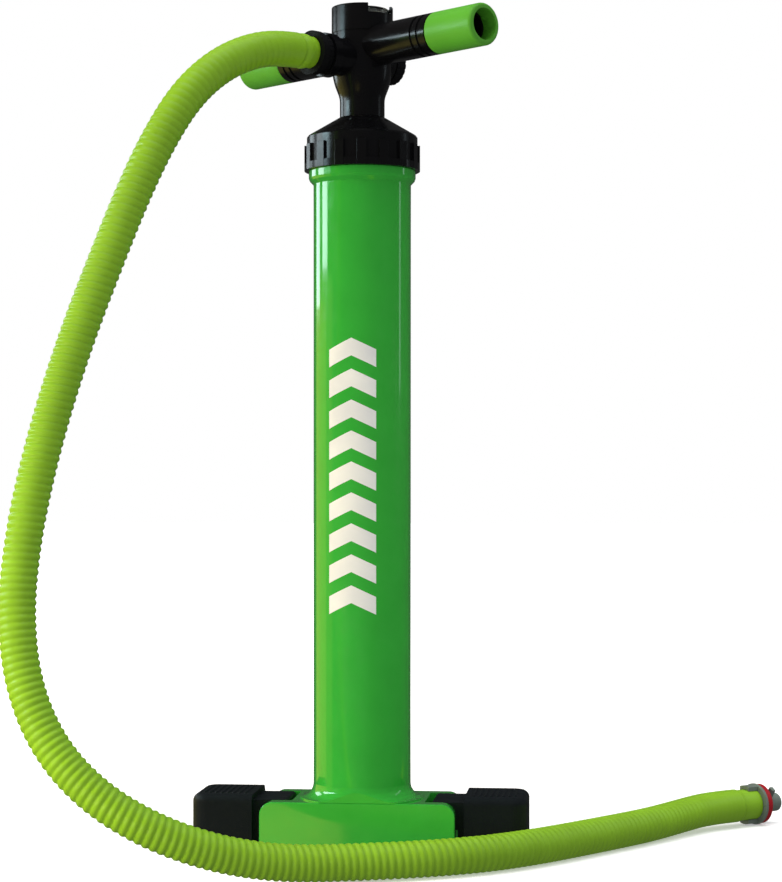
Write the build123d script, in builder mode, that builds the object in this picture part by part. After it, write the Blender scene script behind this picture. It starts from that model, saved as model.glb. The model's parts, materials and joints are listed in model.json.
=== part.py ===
"""Double action hand pump: a barrel on a base with two fold-up feet, a hollow rod with its piston,
a T handle with a pressure gauge, a hose port and a selector knob, a hose and a bayonet nozzle.

Millimetres. +Z is up, the origin is on the floor under the barrel's axis, and the feet spread along X."""

import math
import os

from build123d import *

# ---- driving dimensions --------------------------------------------------------------------------

# base block
BLOCK_W = 151.0  # along X, over the cheeks
BLOCK_D = 77.0  # along Y; the front is nearly flush with the barrel
BLOCK_TOP = 38.5
BLOCK_BOTTOM = 2.0  # the rubber pads hold the block this far off the floor
BLOCK_CORNER_R = 10.0
PLENUM_R = 33.0  # air space under the foot valve
SOCKET_R = 37.2
SOCKET_FLOOR = 28.0
PLATE_W = 94.0
PLATE_D = 69.0
PLATE_T = 3.0
SCREW_X = 41.0
SCREW_Y = 28.0
PAD_X = 62.0
PAD_Y = 32.25
PAD_R = 5.0

# fold-up feet
SLOT_INNER_X = 51.6
SLOT_HALF_Y = 26.0
PIN_X = 68.0
PIN_Z = 28.0
PIN_R = 3.0
PIN_HALF_LENGTH = 36.0
TONGUE_INNER_X = 56.2
TONGUE_HALF_Z = 10.5
TONGUE_HALF_Y = 25.5
FOOT_INNER_X = 82.0
FOOT_OUTER_X = 130.0
FOOT_HALF_Y = 33.0
FOOT_TOP = 43.0
FOOT_PLAN_R = 12.0
TREAD_X = 105.0
TREAD_W = 34.0
TREAD_D = 48.0

# barrel
BARREL_BORE_R = 35.5
BARREL_FOOT_R = 38.0
BARREL_HEAD_R = 38.3  # the mould's draft makes the head a little wider
SPIGOT_R = 37.0
SPIGOT_BOTTOM = 32.0
FLARE_R = 10.5
COLLAR_R = 42.0
COLLAR_BOTTOM = 518.0
CAP_SEAT = 528.7
THREAD_R = 40.0
BARREL_TOP = 545.0

# screw cap
CAP_R = 43.5
CAP_RIB_R = 45.4
CAP_RIB_COUNT = 16
CAP_RIB_TOP = 548.7
CAP_SHOULDER = 556.5
CAP_TOP = 570.3
CAP_TOP_R = 19.0
RIB_START_DEG = 6.0

# piston rod
ROD_R = 12.5
ROD_BORE_R = 10.0
ROD_BOTTOM = 40.0
ROD_TOP = 606.0
PISTON_BOTTOM = 46.0
PISTON_TOP = 62.0
RUN = 0.06  # radial running clearance of pins and shafts

# T handle
BAR_Z = 626.0
BAR_TURN_DEG = -41.0  # the bar's direction from +X
ARM_R = 16.0
ARM_REACH = 85.7
CORE_R = 12.6
CORE_BORE_R = 10.5
CORE_REACH = 122.0
GRIP_REACH = 135.5
GRIP_HOLE_R = 11.9
NECK_R = 17.6
NECK_BOTTOM = 570.9
HUB_R = 23.6

# pressure gauge
GAUGE_R = 24.1
GAUGE_BORE_R = 21.6
GAUGE_BOTTOM = 637.0
GAUGE_TOP = 657.7
GAUGE_FLOOR = 645.0
GAUGE_NOTCH_DEPTH = 7.0

# hose port and selector, both on one axis across the hub
PORT_Z = 616.0
PORT_R = 12.0
PORT_BORE_R = 8.0
PORT_RING_R = 17.0
PORT_FACE = 46.2

# hose
HOSE_R = 13.5
HOSE_BORE_R = 11.5
CUFF_R = 12.1
HOSE_START_REACH = 60.0
NOZZLE_Z = 17.0

# nozzle, as distances beyond the hose's end
CUFF_END_R = 12.6
CUFF_END_BORE_R = 9.0
COLLAR_BORE_R = 8.3
COLLAR_REACH = 18.3
COLLAR_LENGTH = 2.7
EAR_REACH = 8.5
EAR_R = 16.0
SEAL_R = 16.2
SEAL_LENGTH = 4.6
TIP_ROOT_R = 8.0
TIP_R = 7.6
TIP_BORE_R = 5.6
LUG_R = 15.2
LUG_TURN_DEG = 35.0
LUG_LENGTH = 3.4
LUG_END_REACH = 33.4
TIP_END_REACH = 43.6

os.makedirs("parts", exist_ok=True)

# ---- directions and planes -----------------------------------------------------------------------

turn = math.radians(BAR_TURN_DEG)
BAR = Vector(math.cos(turn), math.sin(turn), 0)
PORT = Vector(math.sin(turn), -math.cos(turn), 0)  # out of the hose port, at a right angle to the bar
UP = Vector(0, 0, 1)


def bar_plane(reach):
    """A plane across the handle bar, that far from the pump's axis."""
    return Plane(origin=BAR * reach + UP * BAR_Z, x_dir=UP, z_dir=BAR)


def port_plane(reach):
    """A plane across the hose port's axis, facing out of the port."""
    return Plane(origin=PORT * reach + UP * PORT_Z, x_dir=UP, z_dir=PORT)


def save(piece, node):
    """Labels a finished piece and writes its STEP file."""
    piece.part.label = node
    export_step(piece.part, f"parts/{node}.step")


def make_ring(node, plane, outer, inner, length):
    """A plain ring or washer, from its plane along the plane's normal."""
    with BuildPart() as ring:
        with BuildSketch(plane):
            Circle(outer)
            Circle(inner, mode=Mode.SUBTRACT)
        extrude(amount=length)
    save(ring, node)


def make_disc(node, plane, radius, length):
    """A plain disc or pin, from its plane along the plane's normal."""
    with BuildPart() as disc:
        with BuildSketch(plane):
            Circle(radius)
        extrude(amount=length)
    save(disc, node)


# ---- base ----------------------------------------------------------------------------------------

with BuildPart() as base_body:
    # moulded block, rounded where its top meets its ends
    with BuildSketch(Plane.XZ) as block_outline:
        with Locations((0, (BLOCK_TOP + BLOCK_BOTTOM) / 2)):
            Rectangle(BLOCK_W, BLOCK_TOP - BLOCK_BOTTOM)
        fillet(block_outline.vertices().group_by(Axis.Y)[-1], BLOCK_CORNER_R)
    extrude(amount=BLOCK_D / 2, both=True)
    front_and_back = base_body.faces().filter_by(Axis.Y).edges()
    fillet(front_and_back.filter_by_position(Axis.Z, BLOCK_BOTTOM + 1, BLOCK_TOP + 1), 0.8)
    # a slot at each end takes a foot's tongue between two cheeks
    slot_length = BLOCK_W / 2 - SLOT_INNER_X + 1
    with BuildSketch(Plane.XY) as slots:
        with Locations((SLOT_INNER_X + slot_length / 2, 0), (-SLOT_INNER_X - slot_length / 2, 0)):
            Rectangle(slot_length, 2 * SLOT_HALF_Y)
    extrude(amount=BLOCK_TOP + 1, mode=Mode.SUBTRACT)
    # bores for the hinge pins, open at the back
    with BuildSketch(Plane.XZ.offset(-BLOCK_D / 2 - 1)):
        with Locations((PIN_X, PIN_Z), (-PIN_X, PIN_Z)):
            Circle(PIN_R)
    extrude(amount=BLOCK_D / 2 + 1 + PIN_HALF_LENGTH, mode=Mode.SUBTRACT)
    # plenum, barrel socket and the recess of the cover plate
    with BuildSketch(Plane.XY):
        Circle(PLENUM_R)
    extrude(amount=SOCKET_FLOOR, mode=Mode.SUBTRACT)
    with BuildSketch(Plane.XY.offset(SOCKET_FLOOR)):
        Circle(SOCKET_R)
    extrude(amount=BLOCK_TOP - SOCKET_FLOOR + 1, mode=Mode.SUBTRACT)
    with BuildSketch(Plane.XY):
        RectangleRounded(PLATE_W + 0.6, PLATE_D + 0.6, 6.3)
    extrude(amount=BLOCK_BOTTOM + PLATE_T, mode=Mode.SUBTRACT)
    # pilot holes of the plate's screws
    with BuildSketch(Plane.XY):
        with GridLocations(2 * SCREW_X, 2 * SCREW_Y, 2, 2):
            Circle(1.5)
    extrude(amount=20, mode=Mode.SUBTRACT)
    # sockets of the rubber pads
    with BuildSketch(Plane.XY):
        with GridLocations(2 * PAD_X, 2 * PAD_Y, 2, 2):
            Circle(PAD_R)
    extrude(amount=BLOCK_BOTTOM + 1.5, mode=Mode.SUBTRACT)
save(base_body, "base_body")

with BuildPart() as sole_pads:
    with BuildSketch(Plane.XY):
        with GridLocations(2 * PAD_X, 2 * PAD_Y, 2, 2):
            Circle(PAD_R)
    extrude(amount=BLOCK_BOTTOM + 1.5)
save(sole_pads, "sole_pads")

with BuildPart() as base_plate:
    with BuildSketch(Plane.XY.offset(BLOCK_BOTTOM)):
        RectangleRounded(PLATE_W, PLATE_D, 6.0)
        with GridLocations(2 * SCREW_X, 2 * SCREW_Y, 2, 2):
            Circle(1.7, mode=Mode.SUBTRACT)
        for row_radius, row_count in ((12.0, 6), (22.0, 12)):
            with PolarLocations(row_radius, row_count):
                Circle(2.6, mode=Mode.SUBTRACT)
    extrude(amount=PLATE_T)
    with BuildSketch(Plane.XY.offset(BLOCK_BOTTOM)):
        with GridLocations(2 * SCREW_X, 2 * SCREW_Y, 2, 2):
            Circle(3.3)
    extrude(amount=1.5, mode=Mode.SUBTRACT)
save(base_plate, "base_plate")

with BuildPart() as base_screws:
    with BuildSketch(Plane.XY.offset(BLOCK_BOTTOM)):
        with GridLocations(2 * SCREW_X, 2 * SCREW_Y, 2, 2):
            Circle(3.2)
            RegularPolygon(1.2, 6, mode=Mode.SUBTRACT)
    extrude(amount=1.5)
    with BuildSketch(Plane.XY.offset(BLOCK_BOTTOM + 1.0)):
        with GridLocations(2 * SCREW_X, 2 * SCREW_Y, 2, 2):
            Circle(1.5)
    extrude(amount=15.0)
save(base_screws, "base_screws")

for side, pin_node in ((-1, "hinge_pin_left"), (1, "hinge_pin_right")):
    pin_plane = Plane(origin=(side * PIN_X, -PIN_HALF_LENGTH, PIN_Z), z_dir=(0, 1, 0))
    make_disc(pin_node, pin_plane, PIN_R, 2 * PIN_HALF_LENGTH)


# ---- fold-up feet --------------------------------------------------------------------------------

def make_foot(side, node, tread_node):
    """One foot: a pad outside the base block and a tongue that turns on its hinge pin."""
    with BuildPart() as foot:
        # tongue: a flat knuckle on the pin and a deep web that runs out into the pad
        web_end = FOOT_INNER_X + 4
        with BuildSketch(Plane.XZ):
            with Locations((side * (TONGUE_INNER_X + web_end) / 2, PIN_Z)):
                RectangleRounded(web_end - TONGUE_INNER_X, 2 * TONGUE_HALF_Z, 2.5)
        extrude(amount=TONGUE_HALF_Y, both=True)
        web_bottom = BLOCK_BOTTOM + 2
        with BuildSketch(Plane.XZ):
            with Locations((side * (PIN_X + 9 + web_end) / 2, (web_bottom + PIN_Z) / 2)):
                Rectangle(web_end - PIN_X - 9, PIN_Z - web_bottom)
        extrude(amount=TONGUE_HALF_Y, both=True)
        # pad
        with BuildSketch(Plane.XY.offset(BLOCK_BOTTOM)) as plan:
            with Locations((side * (FOOT_INNER_X + FOOT_OUTER_X) / 2, 0)):
                Rectangle(FOOT_OUTER_X - FOOT_INNER_X, 2 * FOOT_HALF_Y)
            outer_corners = plan.vertices().group_by(Axis.X)[-1 if side > 0 else 0]
            fillet(outer_corners, FOOT_PLAN_R)
        extrude(amount=FOOT_TOP - BLOCK_BOTTOM)
        top_face = foot.faces().filter_by(Axis.Z).sort_by(Axis.Z)[-1]
        rim_span = sorted((side * (FOOT_INNER_X + 1), side * (FOOT_OUTER_X + 1)))
        fillet(top_face.edges().filter_by_position(Axis.X, *rim_span), 6.0)
        with BuildSketch(Plane.XZ):
            with Locations((side * PIN_X, PIN_Z)):
                Circle(PIN_R + RUN)
        extrude(amount=FOOT_HALF_Y, both=True, mode=Mode.SUBTRACT)
        # hollow underside with the tread's seat
        with BuildSketch(Plane.XY.offset(BLOCK_BOTTOM)):
            with Locations((side * TREAD_X, 0)):
                Rectangle(TREAD_W, TREAD_D)
        extrude(amount=1.5, mode=Mode.SUBTRACT)
        with BuildSketch(Plane.XY.offset(BLOCK_BOTTOM)):
            with Locations((side * TREAD_X, 0)):
                with GridLocations(0, 16.0, 1, 3):
                    Rectangle(28.0, 12.0)
        extrude(amount=30.0, mode=Mode.SUBTRACT)
    save(foot, node)

    with BuildPart() as tread:
        with BuildSketch(Plane.XY):
            with Locations((side * TREAD_X, 0)):
                Rectangle(TREAD_W, TREAD_D)
        extrude(amount=BLOCK_BOTTOM + 1.5)
        with BuildSketch(Plane.XY):
            with Locations((side * TREAD_X, 0)):
                with GridLocations(0, 6.0, 1, 7):
                    Rectangle(TREAD_W + 2, 1.6)
        extrude(amount=1.0, mode=Mode.SUBTRACT)
    save(tread, tread_node)


make_foot(-1, "foot_left", "foot_left_tread")
make_foot(1, "foot_right", "foot_right_tread")

# ---- barrel and foot valve -----------------------------------------------------------------------

with BuildPart() as barrel_tube:
    flare_top = BLOCK_TOP + 1 + FLARE_R
    with BuildSketch(Plane.XZ):
        with BuildLine():
            Polyline((BARREL_BORE_R, SPIGOT_BOTTOM), (SPIGOT_R, SPIGOT_BOTTOM),
                     (SPIGOT_R, BLOCK_TOP), (BARREL_FOOT_R + FLARE_R, BLOCK_TOP),
                     (BARREL_FOOT_R + FLARE_R, BLOCK_TOP + 1))
            RadiusArc((BARREL_FOOT_R + FLARE_R, BLOCK_TOP + 1), (BARREL_FOOT_R, flare_top), FLARE_R)
            Polyline((BARREL_FOOT_R, flare_top), (BARREL_HEAD_R, COLLAR_BOTTOM),
                     (COLLAR_R - 0.8, COLLAR_BOTTOM + 3), (COLLAR_R, COLLAR_BOTTOM + 5),
                     (COLLAR_R, CAP_SEAT), (THREAD_R, CAP_SEAT),
                     (THREAD_R, BARREL_TOP), (BARREL_BORE_R, BARREL_TOP), (BARREL_BORE_R, SPIGOT_BOTTOM))
        make_face()
    revolve(axis=Axis.Z)
    # the flare ends flush with the block's front and back
    with BuildSketch(Plane.XY.offset(BLOCK_TOP)):
        Rectangle(3 * BARREL_FOOT_R, BLOCK_D + 30)
        Rectangle(3 * BARREL_FOOT_R, BLOCK_D, mode=Mode.SUBTRACT)
    extrude(amount=FLARE_R + 1, mode=Mode.SUBTRACT)
save(barrel_tube, "barrel_tube")

with BuildPart() as foot_valve_seat:
    with BuildSketch(Plane.XY.offset(SOCKET_FLOOR)):
        Circle(SPIGOT_R)
        with PolarLocations(9.0, 8):
            Circle(2.5, mode=Mode.SUBTRACT)
    extrude(amount=3.0)
    with BuildSketch(Plane.XY.offset(SOCKET_FLOOR + 3)):
        Circle(2.0)
    extrude(amount=5.5)
    with BuildSketch(Plane.XY.offset(SOCKET_FLOOR + 7)):
        Circle(4.2)
    extrude(amount=1.5)
save(foot_valve_seat, "foot_valve_seat")

make_ring("seat_gasket", Plane.XY.offset(SOCKET_FLOOR + 3), SPIGOT_R, 33.0, 1.0)
make_ring("foot_valve_disc", Plane.XY.offset(SOCKET_FLOOR + 3.05), 14.0, 2.15, 1.2)

# ---- cap, bush and seals -------------------------------------------------------------------------

with BuildPart() as barrel_cap:
    with BuildSketch(Plane.XZ):
        with BuildLine():
            Polyline((COLLAR_R - 1.6, CAP_SEAT + 0.2), (CAP_R, CAP_SEAT + 0.2),
                     (CAP_R, CAP_SHOULDER - 1.5), (CAP_R - 1.2, CAP_SHOULDER), (CAP_TOP_R, CAP_TOP),
                     (16.2, CAP_TOP), (16.2, BARREL_TOP + 6), (THREAD_R + 0.4, BARREL_TOP + 1.2),
                     (COLLAR_R - 1.6, CAP_SEAT + 0.2))
        make_face()
    revolve(axis=Axis.Z)
    # a band round the mouth and upright grip ribs above it
    with BuildSketch(Plane.XY.offset(CAP_SEAT + 0.2)):
        Circle(CAP_RIB_R)
        Circle(CAP_R - 1, mode=Mode.SUBTRACT)
    extrude(amount=5.6)
    with BuildSketch(Plane.XY.offset(CAP_SEAT + 0.2)):
        with PolarLocations(CAP_R + 0.45, CAP_RIB_COUNT, start_angle=RIB_START_DEG):
            Rectangle(2.9, 7.4)
    extrude(amount=CAP_RIB_TOP - CAP_SEAT - 0.2)
    # air inlets of the upper chamber
    with BuildSketch(Plane.XY.offset(BARREL_TOP)):
        with PolarLocations(25.0, 10):
            Circle(1.8)
    extrude(amount=40, mode=Mode.SUBTRACT)
    fillet(barrel_cap.edges().filter_by(GeomType.CIRCLE).sort_by(Axis.Z)[-1], 0.8)
save(barrel_cap, "barrel_cap")

with BuildPart() as cap_flap_ring:
    # rubber flap under the cap's roof
    with BuildSketch(Plane.XZ):
        with BuildLine():
            Polyline((17.0, BARREL_TOP + 3.6), (30.0, BARREL_TOP + 1.0), (30.0, BARREL_TOP - 0.2),
                     (17.0, BARREL_TOP + 2.4), (17.0, BARREL_TOP + 3.6))
        make_face()
    revolve(axis=Axis.Z)
save(cap_flap_ring, "cap_flap_ring")

make_ring("cap_gasket", Plane.XY.offset(BARREL_TOP), THREAD_R - 0.5, BARREL_BORE_R + 0.5, 1.1)

with BuildPart() as rod_bush:
    with BuildSketch(Plane.XZ):
        with BuildLine():
            Polyline((ROD_R + RUN, BARREL_TOP + 4.2), (16.8, BARREL_TOP + 4.2), (16.8, BARREL_TOP + 5.6),
                     (16.1, BARREL_TOP + 5.6), (16.1, CAP_TOP - 3.2), (ROD_R + RUN, CAP_TOP - 3.2),
                     (ROD_R + RUN, BARREL_TOP + 4.2))
        make_face()
    revolve(axis=Axis.Z)
save(rod_bush, "rod_bush")

make_ring("rod_wiper", Plane.XY.offset(CAP_TOP - 3.1), 16.1, ROD_R + RUN, 2.6)

# ---- rod and piston ------------------------------------------------------------------------------

with BuildPart() as piston_rod:
    with BuildSketch(Plane.XY.offset(ROD_BOTTOM)):
        Circle(ROD_R)
        Circle(ROD_BORE_R, mode=Mode.SUBTRACT)
    extrude(amount=ROD_TOP - ROD_BOTTOM)
    with BuildSketch(Plane.XY.offset(PISTON_TOP)):
        Circle(16.0)
        Circle(ROD_R - 1, mode=Mode.SUBTRACT)
    extrude(amount=3.0)
    # side ports above the piston, for the air of the upper chamber
    for port_direction in ((1, 0, 0), (0, 1, 0)):
        with BuildSketch(Plane(origin=Vector(*port_direction) * -20 + UP * 72, z_dir=port_direction)):
            Circle(3.0)
        extrude(amount=40, mode=Mode.SUBTRACT)
save(piston_rod, "piston_rod")

with BuildPart() as piston_body:
    with BuildSketch(Plane.XZ):
        with BuildLine():
            Polyline((ROD_R + 0.02, PISTON_BOTTOM), (BARREL_BORE_R - 1.2, PISTON_BOTTOM),
                     (BARREL_BORE_R - 0.3, PISTON_BOTTOM + 1.5), (BARREL_BORE_R - 0.3, PISTON_BOTTOM + 5.5),
                     (31.0, PISTON_BOTTOM + 5.5), (31.0, PISTON_TOP - 5.5),
                     (BARREL_BORE_R - 0.3, PISTON_TOP - 5.5), (BARREL_BORE_R - 0.3, PISTON_TOP - 1.5),
                     (BARREL_BORE_R - 1.2, PISTON_TOP), (ROD_R + 0.02, PISTON_TOP),
                     (ROD_R + 0.02, PISTON_BOTTOM))
        make_face()
    revolve(axis=Axis.Z)
save(piston_body, "piston_body")

make_ring("piston_seal", Plane.XY.offset(PISTON_BOTTOM + 5.6), BARREL_BORE_R - RUN, 31.1, 4.8)
make_ring("piston_bumper", Plane.XY.offset(PISTON_TOP + 3.0), 17.5, ROD_R + 0.02, 4.0)

with BuildPart() as piston_nut:
    with BuildSketch(Plane.XY.offset(PISTON_BOTTOM - 5.0)):
        RegularPolygon(18.0, 6)
        Circle(ROD_R + 0.02, mode=Mode.SUBTRACT)
    extrude(amount=5.0)
save(piston_nut, "piston_nut")

with BuildPart() as valve_cage:
    # cage of the outlet ball, screwed into the rod's lower end
    with BuildSketch(Plane.XY.offset(ROD_BOTTOM)):
        Circle(ROD_BORE_R)
        Circle(4.5, mode=Mode.SUBTRACT)
    extrude(amount=3.0)
    with BuildSketch(Plane.XY.offset(ROD_BOTTOM + 3)):
        Circle(ROD_BORE_R)
        Circle(8.2, mode=Mode.SUBTRACT)
    extrude(amount=18.0)
    with BuildSketch(Plane.XY.offset(ROD_BOTTOM + 21)):
        Circle(ROD_BORE_R)
        Circle(6.2, mode=Mode.SUBTRACT)
    extrude(amount=2.0)
save(valve_cage, "valve_cage")

with BuildPart() as outlet_ball:
    ball_r = 6.5
    ball_z = ROD_BOTTOM + 3 + math.sqrt(ball_r**2 - 4.5**2) + 0.05
    with Locations((0, 0, ball_z)):
        Sphere(ball_r)
save(outlet_ball, "outlet_ball")

make_ring("inner_air_tube", Plane.XY.offset(ROD_BOTTOM + 23), 6.0, 4.8, 540.0)

# ---- handle --------------------------------------------------------------------------------------

with BuildPart() as handle_hub:
    # neck and upright body
    with BuildSketch(Plane.XZ):
        with BuildLine():
            Polyline((0, NECK_BOTTOM), (NECK_R, NECK_BOTTOM), (NECK_R, NECK_BOTTOM + 12))
            Spline((NECK_R, NECK_BOTTOM + 12), (20.3, 593.0), (HUB_R, 607.0),
                   tangents=[(0, 1), (0.1, 1)])
            Polyline((HUB_R, 607.0), (HUB_R, GAUGE_BOTTOM), (0, GAUGE_BOTTOM), (0, NECK_BOTTOM))
        make_face()
    revolve(axis=Axis.Z)
    # arms, with two ring grooves near each grip, and the thinner cores inside the grips
    with BuildSketch(bar_plane(-ARM_REACH)):
        Circle(ARM_R)
    extrude(amount=2 * ARM_REACH)
    for groove_reach in (-80.0, -73.0, 70.0, 77.0):
        with BuildSketch(bar_plane(groove_reach)):
            Circle(ARM_R + 1)
            Circle(ARM_R - 0.9, mode=Mode.SUBTRACT)
        extrude(amount=3.0, mode=Mode.SUBTRACT)
    with BuildSketch(bar_plane(-CORE_REACH)):
        Circle(CORE_R)
    extrude(amount=2 * CORE_REACH)
    # hose port with its ring at the front, selector boss at the back
    with BuildSketch(port_plane(-24.0)):
        Circle(14.6)
    extrude(amount=24.0 + 34.0)
    with BuildSketch(port_plane(34.0)):
        Circle(PORT_RING_R)
    extrude(amount=7.8)
    with BuildSketch(port_plane(34.0)):
        Circle(PORT_R)
    extrude(amount=PORT_FACE - 34.0)
    # rod socket, air chamber, port bore, selector bore and the hollows of the two arms
    with BuildSketch(Plane.XY.offset(NECK_BOTTOM - 1)):
        Circle(ROD_R)
    extrude(amount=ROD_TOP - NECK_BOTTOM + 1, mode=Mode.SUBTRACT)
    with BuildSketch(Plane.XY.offset(ROD_TOP - 1)):
        Circle(9.0)
    extrude(amount=22.0, mode=Mode.SUBTRACT)
    with BuildSketch(port_plane(0)):
        Circle(PORT_BORE_R)
    extrude(amount=PORT_FACE + 1, mode=Mode.SUBTRACT)
    with BuildSketch(port_plane(-25.0)):
        Circle(9.0)
    extrude(amount=25.0, mode=Mode.SUBTRACT)
    for hollow_start in (-CORE_REACH - 1, 32.0):
        with BuildSketch(bar_plane(hollow_start)):
            Circle(CORE_BORE_R)
        extrude(amount=CORE_REACH - 31.0, mode=Mode.SUBTRACT)
save(handle_hub, "handle_hub")


def make_grip(side, node):
    """A green sleeve on one arm, its outer end turned in round an open hole."""
    with BuildPart() as grip:
        near = side * (ARM_REACH + 0.3)
        length = side * (GRIP_REACH - ARM_REACH - 0.3)
        with BuildSketch(bar_plane(near)):
            Circle(ARM_R)
        extrude(amount=length)
        outward = Axis(origin=(0, 0, 0), direction=BAR * side)
        fillet(grip.edges().filter_by(GeomType.CIRCLE).sort_by(outward)[-1], 2.6)
        fillet(grip.edges().filter_by(GeomType.CIRCLE).sort_by(outward)[0], 1.2)
        with BuildSketch(bar_plane(near)):
            Circle(CORE_R + 0.02)
        extrude(amount=side * (CORE_REACH - ARM_REACH - 0.3 + 0.2), mode=Mode.SUBTRACT)
        with BuildSketch(bar_plane(near)):
            Circle(GRIP_HOLE_R)
        extrude(amount=length * 1.1, mode=Mode.SUBTRACT)
    save(grip, node)


make_grip(-1, "grip_left")
make_grip(1, "grip_right")

# ---- pressure gauge ------------------------------------------------------------------------------

with BuildPart() as gauge_housing:
    with BuildSketch(Plane.XY.offset(GAUGE_BOTTOM)):
        Circle(GAUGE_R)
    extrude(amount=GAUGE_TOP - GAUGE_BOTTOM)
    fillet(gauge_housing.edges().sort_by(Axis.Z)[-1], 0.8)
    with BuildSketch(Plane.XY.offset(GAUGE_FLOOR)):
        Circle(GAUGE_BORE_R)
    extrude(amount=GAUGE_TOP - GAUGE_FLOOR + 1, mode=Mode.SUBTRACT)
    # two notches in the rim, in line with the bar, to turn the lens out
    with BuildSketch(bar_plane(-40.0)):
        with Locations((GAUGE_TOP - BAR_Z, 0)):
            Rectangle(2 * GAUGE_NOTCH_DEPTH, 25.0)
    extrude(amount=80.0, mode=Mode.SUBTRACT)
    # seats that the arms' round tops rise into
    with BuildSketch(bar_plane(-40.0)):
        Circle(ARM_R + 0.05)
    extrude(amount=80.0, mode=Mode.SUBTRACT)
save(gauge_housing, "gauge_housing")

make_disc("gauge_capsule", Plane.XY.offset(GAUGE_FLOOR), 15.0, 3.0)

with BuildPart() as gauge_dial:
    with BuildSketch(Plane.XY.offset(GAUGE_FLOOR + 3)):
        Circle(GAUGE_BORE_R - 1.6)
        Circle(1.4, mode=Mode.SUBTRACT)
    extrude(amount=0.8)
save(gauge_dial, "gauge_dial")

with BuildPart() as gauge_needle:
    with BuildSketch(Plane.XY.offset(GAUGE_FLOOR + 4.4)) as needle_outline:
        Circle(2.4)
        with BuildLine(Plane.XY):
            Polyline((-6.5, -0.9), (16.0, -0.25), (16.0, 0.25), (-6.5, 0.9), (-6.5, -0.9))
        make_face()
    extrude(amount=0.6)
    with BuildSketch(Plane.XY.offset(GAUGE_FLOOR + 3.2)):
        Circle(1.2)
    extrude(amount=1.4)
save(gauge_needle, "gauge_needle")

with BuildPart() as gauge_lens:
    # clear drum with a slightly domed top
    lens_r = GAUGE_BORE_R - 0.1
    lens_top = GAUGE_TOP - 1.6
    dome_r = lens_r - 1.2
    dome_rise = 1.0
    dome_curve_r = (dome_r**2 + dome_rise**2) / (2 * dome_rise)
    dome_mid_z = lens_top + 0.8 - dome_curve_r + math.sqrt(dome_curve_r**2 - (dome_r / 2) ** 2)
    with BuildSketch(Plane.XZ):
        with BuildLine():
            Polyline((lens_r, GAUGE_FLOOR), (lens_r, lens_top - 1.2), (dome_r, lens_top - 0.2))
            ThreePointArc((dome_r, lens_top - 0.2), (dome_r / 2, dome_mid_z), (0, lens_top + 0.8))
            Polyline((0, lens_top + 0.8), (0, lens_top - 1.0), (lens_r - 1.5, lens_top - 1.8),
                     (lens_r - 1.5, GAUGE_FLOOR), (lens_r, GAUGE_FLOOR))
        make_face()
    revolve(axis=Axis.Z)
save(gauge_lens, "gauge_lens")

# ---- selector knob -------------------------------------------------------------------------------

with BuildPart() as selector_knob:
    with BuildSketch(port_plane(-33.0)):
        Circle(15.3)
        with PolarLocations(15.9, 20):
            Circle(1.1, mode=Mode.SUBTRACT)
    extrude(amount=8.6)
    with BuildSketch(port_plane(-24.5)):
        Circle(9.0 - RUN)
    extrude(amount=10.0)
    # finger bar across the face
    with BuildSketch(port_plane(-35.2)):
        SlotOverall(24.0, 5.0)
    extrude(amount=2.4)
save(selector_knob, "selector_knob")

make_ring("selector_seal", port_plane(-14.4), 9.0 - RUN, 5.0, 1.8)

# ---- hose coupling -------------------------------------------------------------------------------

make_ring("hose_port_seal", port_plane(PORT_FACE), 11.6, 8.4, 0.8)

with BuildPart() as hose_cuff_port:
    with BuildSketch(port_plane(PORT_FACE + 0.8)):
        Circle(13.2)
    extrude(amount=2.2)
    with BuildSketch(port_plane(PORT_FACE + 3.0)):
        Circle(CUFF_R)
    extrude(amount=HOSE_START_REACH - PORT_FACE - 3.0)
    with BuildSketch(port_plane(PORT_FACE)):
        Circle(PORT_BORE_R + 0.4)
    extrude(amount=HOSE_START_REACH - PORT_FACE + 1, mode=Mode.SUBTRACT)
save(hose_cuff_port, "hose_cuff_port")

with BuildPart() as coupling_nut:
    with BuildSketch(port_plane(42.2)):
        Circle(14.9)
        with PolarLocations(15.3, 24):
            Circle(0.7, mode=Mode.SUBTRACT)
    extrude(amount=6.4)
    with BuildSketch(port_plane(48.6)):
        Circle(PORT_RING_R)
    extrude(amount=5.8)
    with BuildSketch(port_plane(42.0)):
        Circle(PORT_R + RUN)
    extrude(amount=4.2, mode=Mode.SUBTRACT)
    with BuildSketch(port_plane(46.1)):
        Circle(13.2 + RUN)
    extrude(amount=3.3, mode=Mode.SUBTRACT)
    with BuildSketch(port_plane(49.3)):
        Circle(CUFF_R + RUN)
    extrude(amount=6.0, mode=Mode.SUBTRACT)
save(coupling_nut, "coupling_nut")

# ---- hose ----------------------------------------------------------------------------------------

port_start = PORT * HOSE_START_REACH + UP * PORT_Z
HOSE_ROUTE = [
    (port_start.X, port_start.Y, PORT_Z),
    (-55.8, -64.2, 616.0),
    (-75.8, -85.6, 609.5),
    (-96.6, -106.4, 594.5),
    (-116.5, -124.3, 570.4),
    (-134.5, -138.4, 535.2),
    (-151, -150, 494),
    (-168, -161, 445),
    (-184.5, -171, 396),
    (-199, -180, 346),
    (-211, -188.5, 295),
    (-219.5, -197, 243),
    (-222, -205.5, 191),
    (-214, -214, 142),
    (-193, -222, 100),
    (-161, -226, 67.5),
    (-121, -221, 43),
    (-78, -203, 25),
    (-34, -178, 15),
    (14, -156, 13.6),
    (61, -137.5, 13.6),
    (103, -111.5, 13.6),
    (138, -75.5, 13.6),
    (168, -36, 13.6),
    (197, 4, 13.6),
    (225.5, 44.5, 13.8),
    (250, 84, 15.2),
    (272, 113.5, 17.0),
    (296, 132.3, NOZZLE_Z),
]


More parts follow.
